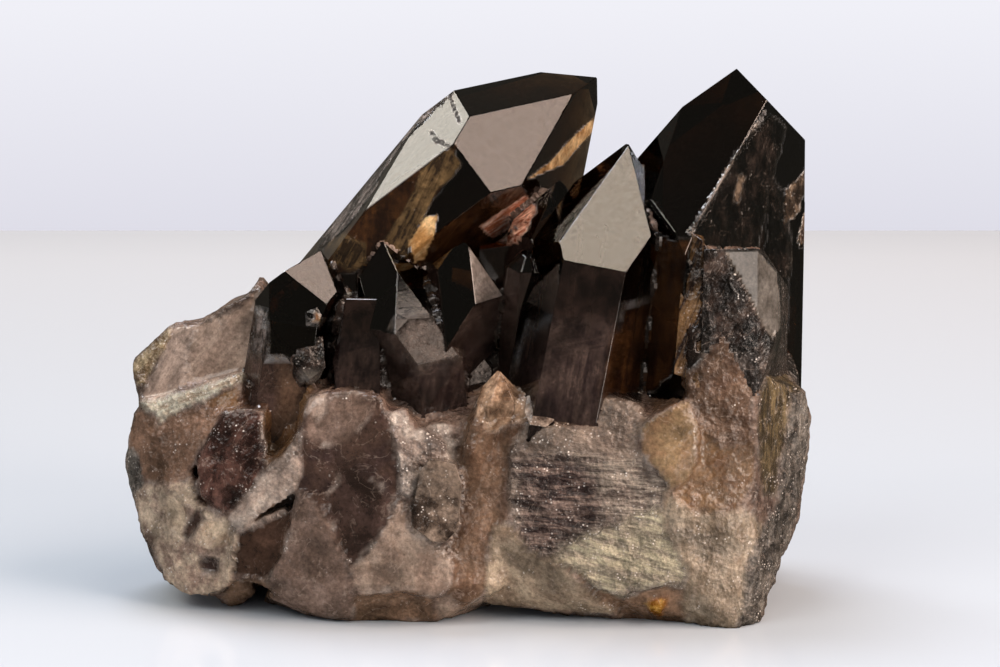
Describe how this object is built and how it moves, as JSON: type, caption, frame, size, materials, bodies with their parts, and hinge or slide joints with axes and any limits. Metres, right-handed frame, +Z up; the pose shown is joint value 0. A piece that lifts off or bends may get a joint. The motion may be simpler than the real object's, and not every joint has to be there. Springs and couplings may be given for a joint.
{
  "type": "smoky quartz crystal cluster",
  "caption": "Smoky quartz points grown together on a broken, milky root that stands on its flat underside.",
  "frame": {"origin": "middle of the underside's bounding box, on the surface that the stone stands on", "axes": "+X right as the viewer of the good side sees it, +Y away from that viewer, +Z up"},
  "size_m": [0.1114, 0.055, 0.0848],
  "materials": {
    "smoky_quartz": "see-through grey-brown quartz, glossy on crystal faces, milky and rough on the root"
  },
  "bodies": {
    "root": {"quartz_cluster": "smoky_quartz"}
  },
  "joints": []
}
